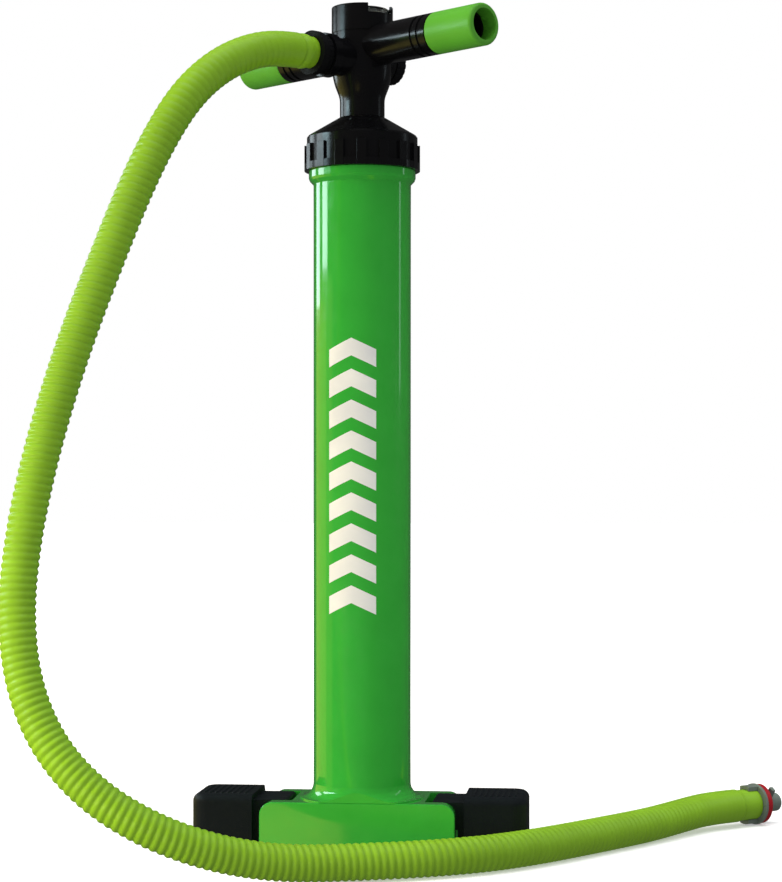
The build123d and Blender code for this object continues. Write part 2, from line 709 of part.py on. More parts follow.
def corner_radii(route):
    """The largest tangent arcs that leave a tenth of each run straight."""
    radii = []
    for before, here, after in zip(route, route[1:], route[2:]):
        run_in = Vector(*here) - Vector(*before)
        run_out = Vector(*after) - Vector(*here)
        half_turn = math.radians(run_in.get_angle(run_out) / 2)
        radii.append(0.45 * min(run_in.length, run_out.length) / math.tan(half_turn))
    return radii


hose_radii = corner_radii(HOSE_ROUTE)
print("hose corner radii, mm:", [round(r) for r in hose_radii])

with BuildPart() as hose_tube:
    with BuildLine() as hose_line:
        FilletPolyline(*HOSE_ROUTE, radius=hose_radii)
    with BuildSketch(port_plane(HOSE_START_REACH)):
        Circle(HOSE_R)
        Circle(HOSE_BORE_R, mode=Mode.SUBTRACT)
    sweep(path=hose_line.wires()[0])
save(hose_tube, "hose_tube")

hose_length = sum(edge.length for edge in hose_line.edges())
hose_section = math.pi * (HOSE_R**2 - HOSE_BORE_R**2)
print("hose length, mm:", round(hose_length, 1))
volume_ratio = hose_tube.part.volume / (hose_section * hose_length)
print("hose volume over section times length:", round(volume_ratio, 4))

# ---- nozzle on the hose's far end ----------------------------------------------------------------

hose_end = Vector(*HOSE_ROUTE[-1])
NOZZLE = (hose_end - Vector(*HOSE_ROUTE[-2])).normalized()


def nozzle_plane(reach):
    """A plane across the nozzle's axis, that far beyond the end of the hose."""
    return Plane(origin=hose_end + NOZZLE * reach, x_dir=UP, z_dir=NOZZLE)


with BuildPart() as hose_cuff_end:
    with BuildSketch(nozzle_plane(0.02)):
        Circle(CUFF_END_R)
        Circle(CUFF_END_BORE_R, mode=Mode.SUBTRACT)
    extrude(amount=18.0)
    rims = hose_cuff_end.edges().filter_by(GeomType.CIRCLE)
    fillet(rims.sort_by(Axis(origin=(0, 0, 0), direction=NOZZLE))[-1], 0.8)
save(hose_cuff_end, "hose_cuff_end")

with BuildPart() as nozzle_collar:
    with BuildSketch(nozzle_plane(COLLAR_REACH)):
        Circle(NOZZLE_Z)  # its rim rests on the floor
        Circle(COLLAR_BORE_R, mode=Mode.SUBTRACT)
    extrude(amount=COLLAR_LENGTH)
    fillet(nozzle_collar.edges().filter_by(GeomType.CIRCLE).group_by(SortBy.RADIUS)[-1], 1.0)
    # two ears reach back over the cuff, for the fingers
    with BuildSketch(nozzle_plane(EAR_REACH)):
        Circle(EAR_R)
        Circle(CUFF_END_R + 0.3, mode=Mode.SUBTRACT)
        Rectangle(2 * EAR_R, 11.0, mode=Mode.INTERSECT)
    extrude(amount=COLLAR_REACH - EAR_REACH)
save(nozzle_collar, "nozzle_collar")

seal_reach = COLLAR_REACH + COLLAR_LENGTH
make_ring("nozzle_seal", nozzle_plane(seal_reach), SEAL_R, TIP_ROOT_R, SEAL_LENGTH)

with BuildPart() as nozzle_body:
    with BuildSketch(nozzle_plane(8.0)):
        Circle(CUFF_END_BORE_R - RUN)
    extrude(amount=COLLAR_REACH - 8.0)
    with BuildSketch(nozzle_plane(COLLAR_REACH)):
        Circle(COLLAR_BORE_R)
    extrude(amount=COLLAR_LENGTH)
    with BuildSketch(nozzle_plane(seal_reach)):
        Circle(TIP_ROOT_R)
    extrude(amount=LUG_END_REACH - seal_reach)
    with BuildSketch(nozzle_plane(LUG_END_REACH)):
        Circle(TIP_R)
    extrude(amount=TIP_END_REACH - LUG_END_REACH)
    rims = nozzle_body.edges().filter_by(GeomType.CIRCLE)
    fillet(rims.sort_by(Axis(origin=(0, 0, 0), direction=NOZZLE))[-1], 1.8)
    # two bayonet lugs
    with BuildSketch(nozzle_plane(LUG_END_REACH - LUG_LENGTH)):
        Rectangle(2 * LUG_R, 4.6, rotation=LUG_TURN_DEG)
    extrude(amount=LUG_LENGTH)
    with BuildSketch(nozzle_plane(0)):
        Circle(TIP_BORE_R)
    extrude(amount=TIP_END_REACH + 1, mode=Mode.SUBTRACT)
save(nozzle_body, "nozzle_body")
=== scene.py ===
"""Looks of the double action hand pump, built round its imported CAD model.

Metres, in the model's own frame.
"""

import json
import math

import bpy
from mathutils import Matrix, Vector


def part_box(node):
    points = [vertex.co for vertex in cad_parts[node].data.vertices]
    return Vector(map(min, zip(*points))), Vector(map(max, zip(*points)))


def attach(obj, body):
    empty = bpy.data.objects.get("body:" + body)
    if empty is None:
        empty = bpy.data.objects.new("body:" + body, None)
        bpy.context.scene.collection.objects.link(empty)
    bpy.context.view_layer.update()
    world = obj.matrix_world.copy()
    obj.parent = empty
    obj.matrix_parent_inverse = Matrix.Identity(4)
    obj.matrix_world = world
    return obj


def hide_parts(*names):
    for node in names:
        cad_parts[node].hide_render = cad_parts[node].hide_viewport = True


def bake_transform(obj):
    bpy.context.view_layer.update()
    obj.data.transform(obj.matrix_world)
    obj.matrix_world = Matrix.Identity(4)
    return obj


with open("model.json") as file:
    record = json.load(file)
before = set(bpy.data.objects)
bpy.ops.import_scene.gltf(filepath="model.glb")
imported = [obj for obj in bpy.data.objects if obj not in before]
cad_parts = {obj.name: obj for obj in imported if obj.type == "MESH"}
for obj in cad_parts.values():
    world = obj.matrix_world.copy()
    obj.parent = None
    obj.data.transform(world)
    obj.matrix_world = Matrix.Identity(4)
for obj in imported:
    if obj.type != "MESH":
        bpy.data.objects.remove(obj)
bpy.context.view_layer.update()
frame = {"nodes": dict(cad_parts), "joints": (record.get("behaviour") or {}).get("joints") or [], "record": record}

# ---- camera --------------------------------------------------------------------------------------

CAMERA_DISTANCE = 1.80  # from the pump's axis to the lens, measured along the view
CAMERA_SIDE = 0.0226  # the axis stands left of the picture's middle
CAMERA_HEIGHT = 0.290
CAMERA_LENS_MM = 93.6
CAMERA_SENSOR_MM = 36.0
CAMERA_PITCH_DEG = 0.86
PUMP_YAW_DEG = 6.0  # the base is turned this much against the camera


def turned(x, y, degrees):
    """A point turned about the pump's axis."""
    a = math.radians(degrees)
    return x * math.cos(a) - y * math.sin(a), x * math.sin(a) + y * math.cos(a)


camera_data = bpy.data.cameras.new("camera")
camera_data.lens = CAMERA_LENS_MM
camera_data.sensor_width = CAMERA_SENSOR_MM
camera = bpy.data.objects.new("camera", camera_data)
camera.location = (*turned(CAMERA_SIDE, -CAMERA_DISTANCE, PUMP_YAW_DEG), CAMERA_HEIGHT)
camera.rotation_euler = (math.radians(90 + CAMERA_PITCH_DEG), 0, math.radians(PUMP_YAW_DEG))
bpy.context.collection.objects.link(camera)
bpy.context.scene.camera = camera

# ---- places read from the frame ------------------------------------------------------------------

JOINTS = {joint["name"]: joint for joint in frame["joints"]}
PORT_AXIS = Vector(JOINTS["hose_nut_turn"]["axis"]).normalized()
PORT_Z = JOINTS["hose_nut_turn"]["pos_m"][2]
NOZZLE_START = Vector(JOINTS["nozzle_turn"]["pos_m"])
UP = Vector((0, 0, 1))


def mm(*values):
    """Millimetres to metres."""
    scaled = [value / 1000 for value in values]
    return scaled[0] if len(scaled) == 1 else tuple(scaled)


# ---- materials -----------------------------------------------------------------------------------

MOTTLE_SCALE = 35.0  # colour blotches about 30 mm across
SMUDGE_SCALE = 140.0  # gloss blotches about 7 mm across
NOISE_LOW, NOISE_HIGH = 0.3, 0.7  # the part of a noise's range that is used
COAT_ROUGHNESS = 0.06


def new_material(name):
    """An empty node material with a Principled shader joined to its output."""
    made = bpy.data.materials.new(name)
    made.use_nodes = True
    made.node_tree.nodes.clear()
    output = made.node_tree.nodes.new("ShaderNodeOutputMaterial")
    shader = made.node_tree.nodes.new("ShaderNodeBsdfPrincipled")
    made.node_tree.links.new(shader.outputs["BSDF"], output.inputs["Surface"])
    return made, made.node_tree, shader


def moulded(name, colour, roughness, mottle=0.06, grain_mm=0.0, grain_depth=0.0, wave_mm=18.0,
            wave_depth=0.0, coat=0.0, coat_ior=1.5, edge_mm=0.5, smudge=0.08, specular=0.5,
            metallic=0.0):
    """Moulded plastic or rubber: faint colour mottle, uneven gloss and soft edges.

    Grain and broad sink waves are optional, and so is a clear coat.
    """
    made, tree, shader = new_material(name)
    nodes, links = tree.nodes, tree.links
    place = nodes.new("ShaderNodeTexCoord").outputs["Object"]

    broad = nodes.new("ShaderNodeTexNoise")
    broad.inputs["Scale"].default_value = MOTTLE_SCALE
    broad.inputs["Detail"].default_value = 4.0
    links.new(place, broad.inputs["Vector"])
    tint = nodes.new("ShaderNodeValToRGB")
    tint.color_ramp.elements[0].position = NOISE_LOW
    tint.color_ramp.elements[1].position = NOISE_HIGH
    tint.color_ramp.elements[0].color = (*[c * (1 - mottle) for c in colour], 1)
    tint.color_ramp.elements[1].color = (*[min(1.0, c * (1 + mottle)) for c in colour], 1)
    links.new(broad.outputs["Fac"], tint.inputs["Fac"])
    links.new(tint.outputs["Color"], shader.inputs["Base Color"])

    fine = nodes.new("ShaderNodeTexNoise")
    fine.inputs["Scale"].default_value = SMUDGE_SCALE
    fine.inputs["Detail"].default_value = 6.0
    links.new(place, fine.inputs["Vector"])
    gloss = nodes.new("ShaderNodeMapRange")
    gloss.inputs["From Min"].default_value = NOISE_LOW
    gloss.inputs["From Max"].default_value = NOISE_HIGH
    gloss.inputs["To Min"].default_value = max(0.02, roughness - smudge)
    gloss.inputs["To Max"].default_value = min(1.0, roughness + smudge)
    links.new(fine.outputs["Fac"], gloss.inputs["Value"])
    links.new(gloss.outputs["Result"], shader.inputs["Roughness"])

    edge = nodes.new("ShaderNodeBevel")
    edge.samples = 4
    edge.inputs["Radius"].default_value = mm(edge_mm)
    normal = edge.outputs["Normal"]
    if wave_depth:
        waves = nodes.new("ShaderNodeTexNoise")
        waves.inputs["Scale"].default_value = 1000 / wave_mm
        waves.inputs["Detail"].default_value = 1.0
        links.new(place, waves.inputs["Vector"])
        normal = bumped(tree, waves.outputs["Fac"], wave_depth, normal)
    if grain_depth:
        grain = nodes.new("ShaderNodeTexVoronoi")
        grain.inputs["Scale"].default_value = 1000 / grain_mm
        links.new(place, grain.inputs["Vector"])
        normal = bumped(tree, grain.outputs["Distance"], grain_depth, normal)
    links.new(normal, shader.inputs["Normal"])

    shader.inputs["Coat Weight"].default_value = coat
    shader.inputs["Coat Roughness"].default_value = COAT_ROUGHNESS
    shader.inputs["Coat IOR"].default_value = coat_ior
    shader.inputs["Specular IOR Level"].default_value = specular
    shader.inputs["Metallic"].default_value = metallic
    return made


def bumped(tree, height, depth_mm, normal):
    """A bump of that depth on top of a normal."""
    bump = tree.nodes.new("ShaderNodeBump")
    bump.inputs["Distance"].default_value = mm(depth_mm)
    bump.inputs["Strength"].default_value = 1.0
    tree.links.new(height, bump.inputs["Height"])
    tree.links.new(normal, bump.inputs["Normal"])
    return bump.outputs["Normal"]


GREEN = (0.038, 0.49, 0.045)
GRIP_GREEN = (0.10, 0.42, 0.03)
HOSE_GREEN = (0.26, 0.52, 0.018)
GLOSS_BLACK = (0.004, 0.004, 0.005)
PLASTIC_BLACK = (0.007, 0.007, 0.008)
FOOT_BLACK = (0.006, 0.009, 0.012)
RUBBER_BLACK = (0.014, 0.014, 0.014)
RUBBER_RED = (0.42, 0.004, 0.012)
WHITE = (0.92, 0.94, 0.98)
NOZZLE_GREY = (0.16, 0.20, 0.17)
STEEL = (0.50, 0.50, 0.52)
ROD_METAL = (0.58, 0.59, 0.61)
BRASS = (0.62, 0.42, 0.14)
DIAL_WHITE = (0.83, 0.83, 0.80)
NEEDLE_RED = (0.55, 0.01, 0.01)

# Each material slot of the record: its colour, its roughness and what else sets it apart.
LOOKS = {
    "green_shell": (GREEN, 0.14, {"mottle": 0.04, "wave_depth": 0.02, "coat": 0.9, "coat_ior": 1.8}),
    "green_grip": (GRIP_GREEN, 0.42, {"grain_mm": 0.8, "grain_depth": 0.05}),
    "hose_green": (HOSE_GREEN, 0.36, {"mottle": 0.05, "smudge": 0.06}),
    "black_gloss": (GLOSS_BLACK, 0.21, {"wave_depth": 0.03, "smudge": 0.05}),
    "black_plastic": (PLASTIC_BLACK, 0.55, {"wave_depth": 0.02, "specular": 0.12}),
    "foot_black": (FOOT_BLACK, 0.5, {"grain_mm": 0.7, "grain_depth": 0.10, "specular": 0.4}),
    "black_rubber": (RUBBER_BLACK, 0.62, {"grain_mm": 0.6, "grain_depth": 0.05}),
    "red_rubber": (RUBBER_RED, 0.38, {}),
    "white_plastic": (WHITE, 0.38, {}),
    "nozzle_grey": (NOZZLE_GREY, 0.34, {"grain_mm": 0.5, "grain_depth": 0.02}),
    "steel": (STEEL, 0.32, {"metallic": 0.6}),
    "rod_metal": (ROD_METAL, 0.30, {"metallic": 0.5}),
    "brass": (BRASS, 0.30, {"metallic": 0.6}),
    "dial_white": (DIAL_WHITE, 0.50, {}),
    "needle_red": (NEEDLE_RED, 0.35, {}),
}
paint = {
    name: moulded(name, colour, roughness, **details)
    for name, (colour, roughness, details) in LOOKS.items()
}

HAZE_SCALE = 220.0
LENS_CLEAREST, LENS_HAZIEST = 0.02, 0.10  # roughness between its cleanest and dullest spots
LENS_TINT = (0.93, 0.96, 0.93)
LENS_IOR = 1.35


def clear_plastic(name):
    """The gauge's clear lens."""
    made, tree, shader = new_material(name)
    place = tree.nodes.new("ShaderNodeTexCoord").outputs["Object"]
    haze = tree.nodes.new("ShaderNodeTexNoise")
    haze.inputs["Scale"].default_value = HAZE_SCALE
    tree.links.new(place, haze.inputs["Vector"])
    rough = tree.nodes.new("ShaderNodeMapRange")
    rough.inputs["To Min"].default_value = LENS_CLEAREST
    rough.inputs["To Max"].default_value = LENS_HAZIEST
    tree.links.new(haze.outputs["Fac"], rough.inputs["Value"])
    tree.links.new(rough.outputs["Result"], shader.inputs["Roughness"])
    shader.inputs["Base Color"].default_value = (*LENS_TINT, 1)
    shader.inputs["Transmission Weight"].default_value = 1.0
    shader.inputs["IOR"].default_value = LENS_IOR
    return made


paint["clear_lens"] = clear_plastic("clear_lens")

for subpart in frame["record"]["subparts"]:
    node = frame["nodes"][subpart["node"]]
    node.data.materials.clear()
    node.data.materials.append(paint[subpart["material_slot"]])

# ---- mesh helpers --------------------------------------------------------------------------------


def mesh_piece(name, points, faces, look, body=None, smooth=True):
    """A mesh object from points and faces, with a material slot of the record, riding on a body."""
    mesh = bpy.data.meshes.new(name)
    mesh.from_pydata(points, [], faces)
    mesh.validate()
    if smooth:
        mesh.polygons.foreach_set("use_smooth", [True] * len(mesh.polygons))
    mesh.materials.append(paint[look])
    made = bpy.data.objects.new(name, mesh)
    bpy.context.collection.objects.link(made)
    if body:
        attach(made, body)
    return made


def tube_points(line, radius_at, sides):
    """Rings of points square to a line of points, without twist, and the faces between them."""
    points, faces = [], []
    across = None
    travelled = 0.0
    for i, centre in enumerate(line):
        ahead = line[min(i + 1, len(line) - 1)] - line[max(i - 1, 0)]
        along = ahead.normalized()
        if across is None:
            across = along.orthogonal().normalized()
        across = (across - along * across.dot(along)).normalized()
        beside = along.cross(across)
        if i:
            travelled += (centre - line[i - 1]).length
        for k in range(sides):
            angle = 2 * math.pi * k / sides
            reach = radius_at(travelled, angle)
            points.append(centre + (across * math.cos(angle) + beside * math.sin(angle)) * reach)
    for i in range(len(line) - 1):
        for k in range(sides):
            a, b = i * sides + k, i * sides + (k + 1) % sides
            faces.append((a, b, b + sides, a + sides))
    return points, faces


# ---- hose ----------------------------------------------------------------------------------------

HOSE_DIAMETER = mm(27.0)
HOSE_PITCH = mm(5.6)
HOSE_GROOVE = mm(1.15)
HOSE_SIDES = 36
RINGS_PER_PITCH = 8
PORT_REACH = mm(60.0)  # from the pump's axis to the hose's start
hose_exit = PORT_AXIS * PORT_REACH + UP * PORT_Z
HOSE_ROUTE = [
    tuple(hose_exit),
    (-0.0558, -0.0642, 0.616),
    (-0.0758, -0.0856, 0.6095),
    (-0.0966, -0.1064, 0.5945),
    (-0.1165, -0.1243, 0.5704),
    (-0.1345, -0.1384, 0.5352),
    (-0.151, -0.150, 0.494),
    (-0.168, -0.161, 0.445),
    (-0.1845, -0.171, 0.396),
    (-0.199, -0.180, 0.346),
    (-0.211, -0.1885, 0.295),
    (-0.2195, -0.197, 0.243),
    (-0.222, -0.2055, 0.191),
    (-0.214, -0.214, 0.142),
    (-0.193, -0.222, 0.100),
    (-0.161, -0.226, 0.0675),
    (-0.121, -0.221, 0.043),
    (-0.078, -0.203, 0.025),
    (-0.034, -0.178, 0.015),
    (0.014, -0.156, 0.0136),
    (0.061, -0.1375, 0.0136),
    (0.103, -0.1115, 0.0136),
    (0.138, -0.0755, 0.0136),
    (0.168, -0.036, 0.0136),
    (0.197, 0.004, 0.0136),
    (0.2255, 0.0445, 0.0138),
    (0.250, 0.084, 0.0152),
    (0.272, 0.1135, 0.017),
    tuple(NOZZLE_START),
]


def spline_line(name, route):
    """The points of a smooth NURBS curve that has the route's points as its control points."""
    curve = bpy.data.curves.new(name, "CURVE")
    curve.dimensions = "3D"
    spline = curve.splines.new("NURBS")
    spline.points.add(len(route) - 1)
    for point, place in zip(spline.points, route):
        point.co = (*place, 1.0)
    spline.order_u = 3
    spline.use_endpoint_u = True
    spline.resolution_u = 24
    holder = bpy.data.objects.new(name, curve)
    bpy.context.collection.objects.link(holder)
    bpy.context.view_layer.update()
    mesh = bpy.data.meshes.new_from_object(holder)
    line = [vertex.co.copy() for vertex in mesh.vertices]
    bpy.data.objects.remove(holder)
    bpy.data.meshes.remove(mesh)
    bpy.data.curves.remove(curve)
    return line


def evenly(line, step):
    """Points at even steps along a line of points, its two ends kept."""
    lengths = [0.0]
    for a, b in zip(line, line[1:]):
        lengths.append(lengths[-1] + (b - a).length)
    count = max(2, round(lengths[-1] / step))
    found, i = [], 0
    for k in range(count + 1):
        goal = lengths[-1] * k / count
        while i < len(lengths) - 2 and lengths[i + 1] < goal:
            i += 1
        share = (goal - lengths[i]) / max(lengths[i + 1] - lengths[i], 1e-12)
        found.append(line[i].lerp(line[i + 1], min(1.0, share)))
    return found, lengths[-1]


hose_line, hose_length = evenly(spline_line("hose_route", HOSE_ROUTE), HOSE_PITCH / RINGS_PER_PITCH)
PORT_PLAIN, PORT_FADE = mm(22.0, 190.0)  # the port end is nearly smooth, then the corrugation deepens
NOZZLE_PLAIN, NOZZLE_FADE = mm(34.0, 430.0)
PORT_EASE, NOZZLE_EASE = 0.8, 0.6  # below 1, the groove deepens early in its fade
LEAST_GROOVE = 0.06  # share of the groove that is left on the plain ends
CREST_BREADTH = 0.6  # below 1, the crests are broader than the grooves
LIP = mm(9.0)  # rounded lip of the moulded end at the port
LIP_DROP = mm(1.6)
LIP_START, LIP_SPAN = 0.2, 0.75  # the part of a half wave that the lip's outline follows
END_ROUND = mm(2.0)  # rounded edge at the nozzle end
END_DROP = mm(0.8)
RIM_INNER = 0.86  # the closing rims' inner edge, as a share of the hose's radius


def hose_radius(travelled, angle):
    """Spiral corrugation, shallower towards the two moulded ends, with a rounded lip at the port."""
    left = hose_length - travelled
    port_depth = min(1.0, max(0.0, (travelled - PORT_PLAIN) / PORT_FADE) ** PORT_EASE)
    nozzle_depth = min(1.0, max(0.0, (left - NOZZLE_PLAIN) / NOZZLE_FADE) ** NOZZLE_EASE)
    depth = min(port_depth, nozzle_depth)
    turn = travelled / HOSE_PITCH - angle / (2 * math.pi)
    wave = 0.5 - 0.5 * math.cos(2 * math.pi * turn)
    crest = wave ** CREST_BREADTH
    groove = HOSE_GROOVE * (LEAST_GROOVE + (1 - LEAST_GROOVE) * depth)
    radius = HOSE_DIAMETER / 2 - groove * (1 - crest)
    if travelled < LIP:
        along_lip = min(1.0, travelled / LIP * LIP_SPAN + LIP_START)
        radius = HOSE_DIAMETER / 2 - LIP_DROP * (1 - math.sin(math.pi * along_lip))
    if left < END_ROUND:
        radius -= END_DROP * (1 - left / END_ROUND) ** 2
    return radius


points, faces = tube_points(hose_line, hose_radius, HOSE_SIDES)
for centre, first in ((hose_line[0], 0), (hose_line[-1], len(points) - HOSE_SIDES)):
    rim = [points[first + k] for k in range(HOSE_SIDES)]
    inner = len(points)
    points += [centre + (place - centre) * RIM_INNER for place in rim]
    for k in range(HOSE_SIDES):
        after = (k + 1) % HOSE_SIDES
        faces.append((first + k, first + after, inner + after, inner + k))
hose = mesh_piece("hose", points, faces, "hose_green")
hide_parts("hose_tube")
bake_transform(hose)

# ---- printed graphic on the barrel ---------------------------------------------------------------

BARREL_R = mm(38.0)  # at the barrel's foot
BARREL_FLARE = mm(0.3)  # how much wider its radius is at the head
BARREL_FOOT = mm(50.0)
BARREL_RISE = mm(468.0)
INK = mm(0.10)  # how far the print stands off the barrel


def barrel_radius(z):
    """Outside of the barrel, which widens a little towards its head."""
    return BARREL_R + BARREL_FLARE * (z - BARREL_FOOT) / BARREL_RISE


def printed_patch(corners, columns=14, rows=4):
    """A patch of ink on the barrel; its corners are (degrees round, height), left to right, then up."""
    (a0, z0), (a1, z1), (a2, z2), (a3, z3) = corners
    points, faces = [], []
    for row in range(rows + 1):
        up = row / rows
        for column in range(columns + 1):
            across = column / columns
            angle = (a0 + (a1 - a0) * across) * (1 - up) + (a2 + (a3 - a2) * across) * up
            z = (z0 + (z1 - z0) * across) * (1 - up) + (z2 + (z3 - z2) * across) * up
            x, y = turned(0, -barrel_radius(z) - INK, PUMP_YAW_DEG + angle)
            points.append((x, y, z))
    for row in range(rows):
        for column in range(columns):
            a = row * (columns + 1) + column
            faces.append((a, a + 1, a + columns + 2, a + columns + 1))
    return points, faces


def joined(patches):
    """One list of points and one of faces from several."""
    points, faces = [], []
    for some_points, some_faces in patches:
        start = len(points)
        points += some_points
        faces += [tuple(start + index for index in face) for face in some_faces]
    return points, faces


GRAPHIC_LEFT, GRAPHIC_RIGHT = -41.0, 17.0  # degrees round the barrel from the camera's side
GRAPHIC_BOTTOM, GRAPHIC_TOP = mm(183.0, 396.0)
CHEVRONS = 9
RISE = mm(9.0)  # how much higher a chevron's middle is than its ends
THICK = mm(13.6)
patches = []
pitch = (GRAPHIC_TOP - GRAPHIC_BOTTOM - RISE - THICK) / (CHEVRONS - 1)
middle_angle = (GRAPHIC_LEFT + GRAPHIC_RIGHT) / 2
for k in range(CHEVRONS):
    low = GRAPHIC_BOTTOM + k * pitch
    patches.append(printed_patch([(GRAPHIC_LEFT, low), (middle_angle, low + RISE),
                                  (GRAPHIC_LEFT, low + THICK), (middle_angle, low + RISE + THICK)]))
    patches.append(printed_patch([(middle_angle, low + RISE), (GRAPHIC_RIGHT, low),
                                  (middle_angle, low + RISE + THICK), (GRAPHIC_RIGHT, low + THICK)]))
mesh_piece("barrel_graphic", *joined(patches), "white_plastic", "base")

# ---- gauge dial ----------------------------------------------------------------------------------

DIAL_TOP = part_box("gauge_dial")[1][2] + mm(0.06)
SCALE_START, SCALE_SWEEP = -135.0, 270.0
DIAL_TURN = SCALE_START - 90.0  # puts the scale's zero under the resting needle, which points along +X
MARK_COUNT = 50  # small divisions; every 5th is longer and every 10th the longest
MARK_OUTER = mm(18.2)
MARK_INNER_SMALL, MARK_INNER_LONG, MARK_INNER_LONGEST = mm(16.7, 15.8, 14.6)
MARK_THIN, MARK_BOLD = mm(0.3, 0.7)
MARK_TAPER = 0.4  # half width at a mark's inner end, as a share of its width
RING_INNER, RING_OUTER = mm(18.3, 18.7)
RING_STEPS = 60
NUMBER_COUNT = 6
NUMBER_STEP = 5
NUMBER_REACH = mm(11.6)
NUMBER_HEIGHT = mm(4.2)


def dial_mark(degrees, inner, outer, width):
    """A tapered mark on the dial, measured clockwise from the top of its scale."""
    a = math.radians(90 + DIAL_TURN - degrees)
    along, beside = Vector((math.cos(a), math.sin(a), 0)), Vector((-math.sin(a), math.cos(a), 0))
    corners = [along * inner - beside * width * MARK_TAPER, along * outer - beside * width / 2,
               along * outer + beside * width / 2, along * inner + beside * width * MARK_TAPER]
    return [(c.x, c.y, DIAL_TOP) for c in corners], [(0, 1, 2, 3)]


def ring_step(k):
    """One short step of the thin ring round the marks."""
    a0 = SCALE_START + SCALE_SWEEP * k / RING_STEPS
    a1 = SCALE_START + SCALE_SWEEP * (k + 1) / RING_STEPS
    corners = []
    for degrees, reach in ((a0, RING_INNER), (a1, RING_INNER), (a1, RING_OUTER), (a0, RING_OUTER)):
        a = math.radians(90 + DIAL_TURN - degrees)
        corners.append((reach * math.cos(a), reach * math.sin(a), DIAL_TOP))
    return corners, [(0, 1, 2, 3)]


marks = []
for k in range(MARK_COUNT + 1):
    degrees = SCALE_START + SCALE_SWEEP * k / MARK_COUNT
    inner = MARK_INNER_SMALL
    if k % 5 == 0:
        inner = MARK_INNER_LONG
    if k % 10 == 0:
        inner = MARK_INNER_LONGEST
    marks.append(dial_mark(degrees, inner, MARK_OUTER, MARK_BOLD if k % 5 == 0 else MARK_THIN))
marks += [ring_step(k) for k in range(RING_STEPS)]
mesh_piece("dial_marks", *joined(marks), "black_gloss", "handle", smooth=False)


def dial_number(text, degrees, reach, height):
    """A number printed on the dial, upright for a reader who stands opposite the hose."""
    curve = bpy.data.curves.new("number_" + text, "FONT")
    curve.body = text
    curve.size = height
    curve.align_x = "CENTER"
    curve.align_y = "CENTER"
    holder = bpy.data.objects.new("number_" + text, curve)
    bpy.context.collection.objects.link(holder)
    bpy.context.view_layer.update()
    mesh = bpy.data.meshes.new_from_object(holder)
    a = math.radians(90 + DIAL_TURN - degrees)
    place = Matrix.Translation((reach * math.cos(a), reach * math.sin(a), DIAL_TOP))
    mesh.transform(place @ Matrix.Rotation(math.radians(DIAL_TURN), 4, "Z"))
    points = [tuple(vertex.co) for vertex in mesh.vertices]
    faces = [tuple(polygon.vertices) for polygon in mesh.polygons]
    bpy.data.objects.remove(holder)
    bpy.data.meshes.remove(mesh)
    return points, faces


numbers = []
for k in range(NUMBER_COUNT):
    degrees = SCALE_START + SCALE_SWEEP * k / (NUMBER_COUNT - 1)
    numbers.append(dial_number(str(k * NUMBER_STEP), degrees, NUMBER_REACH, NUMBER_HEIGHT))
mesh_piece("dial_numbers", *joined(numbers), "black_gloss", "handle", smooth=False)

# ---- anti-slip ribs on the feet ------------------------------------------------------------------

RIB_COUNT = 8
RIB_WIDTH = mm(2.2)
RIB_HEIGHT = mm(0.9)
RIB_ARC = 6  # faces across a rib
RIB_SINK = mm(0.05)  # how deep a rib's edge lies in the foot
RIB_MARGIN = mm(9.0)  # from the foot's outer end and from its front and back
RIB_FIELD = mm(32.0)  # from the innermost rib to the outermost
RIB_LAST_SHORTER = mm(3.5)  # the outermost rib stops this much sooner at each end
RIB_RUN_OUT = [(0.0, 0.0), (0.012, 0.6), (0.035, 0.92), (0.07, 1.0)]  # shares of its length and height
RIB_LEAST_WIDTH = 0.05  # share of its width that its very ends keep


def rounded_rib(start, end, width, height):
    """A low rib along a straight line on a level face.

    Its section is half a flat ellipse, and its ends run out.
    """
    start, end = Vector(start), Vector(end)
    along = (end - start).normalized()
    beside = UP.cross(along)
    points, faces = [], []
    stations = RIB_RUN_OUT + [(1.0 - share, scale) for share, scale in reversed(RIB_RUN_OUT)]
    for share, scale in stations:
        centre = start.lerp(end, share)
        for k in range(RIB_ARC + 1):
            a = math.pi * k / RIB_ARC
            reach = beside * (width / 2) * math.cos(a) * max(scale, RIB_LEAST_WIDTH)
            points.append(centre + reach + UP * height * math.sin(a) * scale)
    row = RIB_ARC + 1
    for i in range(len(stations) - 1):
        for k in range(RIB_ARC):
            faces.append((i * row + k, (i + 1) * row + k, (i + 1) * row + k + 1, i * row + k + 1))
    return points, faces


for side, node, body in ((-1, "foot_left", "left_foot"), (1, "foot_right", "right_foot")):
    low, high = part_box(node)
    top = high[2] - RIB_SINK
    outer = (low[0] if side < 0 else high[0]) - side * RIB_MARGIN
    inner = outer - side * RIB_FIELD
    ribs = []
    for k in range(RIB_COUNT):
        x = inner + (outer - inner) * k / (RIB_COUNT - 1)
        shorter = RIB_LAST_SHORTER if k == RIB_COUNT - 1 else 0.0
        front, back = low[1] + RIB_MARGIN + shorter, high[1] - RIB_MARGIN - shorter
        ribs.append(rounded_rib((x, front, top), (x, back, top), RIB_WIDTH, RIB_HEIGHT))
    mesh_piece(node + "_grip_ribs", *joined(ribs), "foot_black", body)

# ---- stage and light -----------------------------------------------------------------------------

